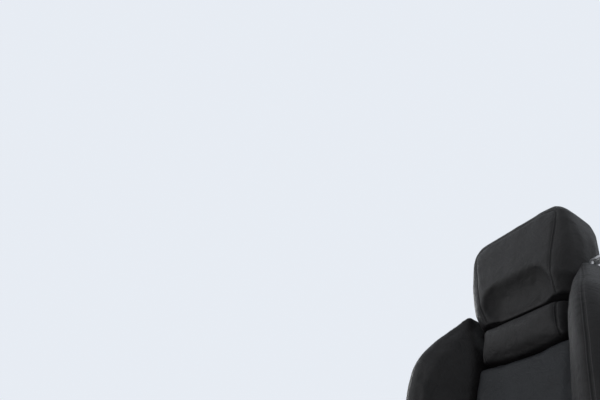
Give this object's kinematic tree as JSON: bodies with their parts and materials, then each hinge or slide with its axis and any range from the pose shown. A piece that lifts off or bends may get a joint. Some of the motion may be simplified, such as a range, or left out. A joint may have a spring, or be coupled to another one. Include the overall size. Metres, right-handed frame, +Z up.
{
  "type": "car seat",
  "caption": "Front seat of an open two-seat car: leather cushion and reclining backrest with bolsters, neck roll and raised headrest, on height links and floor rails.",
  "frame": {"origin": "centre of the four floor bolts, on the floor", "axes": "+Z up, the occupant faces -Y, +X towards the door side"},
  "size_m": [0.5348, 0.8559, 0.9998],
  "materials": {
    "leather": "grained",
    "panel_leather": "fine grain",
    "foam_cover": "woven",
    "shell_plastic": "grained",
    "trim_plastic": "grained",
    "button_plastic": "satin",
    "rail_steel": "zinc plated",
    "frame_paint": "satin",
    "recliner_steel": "phosphated",
    "stalk_steel": "satin",
    "post_chrome": "polished",
    "guide_metal": "satin"
  },
  "bodies": {
    "floor_rails": {"lower_rail_outboard": "rail_steel", "lower_rail_inboard": "rail_steel", "foot_front_outboard": "rail_steel", "foot_front_inboard": "rail_steel", "foot_rear_outboard": "rail_steel", "foot_rear_inboard": "rail_steel"},
    "carriage": {"upper_rail_outboard": "rail_steel", "upper_rail_inboard": "rail_steel", "latch_bar": "frame_paint"},
    "rear_links": {"link_rear_outboard": "frame_paint", "link_rear_inboard": "frame_paint", "cross_tube_rear": "frame_paint"},
    "front_links": {"link_front_outboard": "frame_paint", "link_front_inboard": "frame_paint", "cross_tube_front": "frame_paint"},
    "cushion": {"side_frame_outboard": "frame_paint", "side_frame_inboard": "frame_paint", "side_trim_outboard": "trim_plastic", "side_trim_inboard": "trim_plastic", "recliner_outboard": "recliner_steel", "recliner_inboard": "recliner_steel", "cushion_bolster_outboard": "leather", "cushion_bolster_inboard": "leather", "cushion_pan": "frame_paint", "cushion_base": "foam_cover", "cushion_centre": "panel_leather", "height_lever": "trim_plastic", "recline_lever": "trim_plastic", "buckle_stalk": "stalk_steel", "buckle": "trim_plastic", "buckle_button": "button_plastic"},
    "backrest": {"back_arm_outboard": "frame_paint", "back_arm_inboard": "frame_paint", "backrest_bolster_outboard": "leather", "backrest_bolster_inboard": "leather", "post_sleeve_outboard": "trim_plastic", "post_sleeve_inboard": "trim_plastic", "backrest_centre": "panel_leather", "neck_roll": "leather", "back_shell": "shell_plastic", "belt_guide": "guide_metal"},
    "headrest_body": {"headrest_post_outboard": "post_chrome", "headrest_post_inboard": "post_chrome", "headrest": "leather"}
  },
  "joints": [
    {"name": "fore_aft", "type": "slide", "parent": "floor_rails", "child": "carriage", "axis": [0, 1, 0], "range_m": [-0.11, 0.09]},
    {"name": "lift", "type": "hinge", "parent": "carriage", "child": "rear_links", "pos_m": [0, 0.11, 0.076], "axis": [1, 0, 0], "range_deg": [-10, 25]},
    {"name": "lift_front", "type": "hinge", "parent": "carriage", "child": "front_links", "pos_m": [0, -0.15, 0.076], "axis": [1, 0, 0], "range_deg": [-10, 25]},
    {"name": "level", "type": "hinge", "parent": "rear_links", "child": "cushion", "pos_m": [0, 0.17578, 0.09994], "axis": [1, 0, 0], "range_deg": [-25, 10]},
    {"name": "recline", "type": "hinge", "parent": "cushion", "child": "backrest", "pos_m": [0, 0.224, 0.24], "axis": [-1, 0, 0], "range_deg": [-8, 22]},
    {"name": "headrest_height", "type": "slide", "parent": "backrest", "child": "headrest_body", "axis": [0, 0.3551, 0.9348], "range_m": [0, 0.06]}
  ],
  "couplings": [
    {"joint": "lift_front", "follows": "lift", "ratio": 1},
    {"joint": "level", "follows": "lift", "ratio": -1}
  ]
}
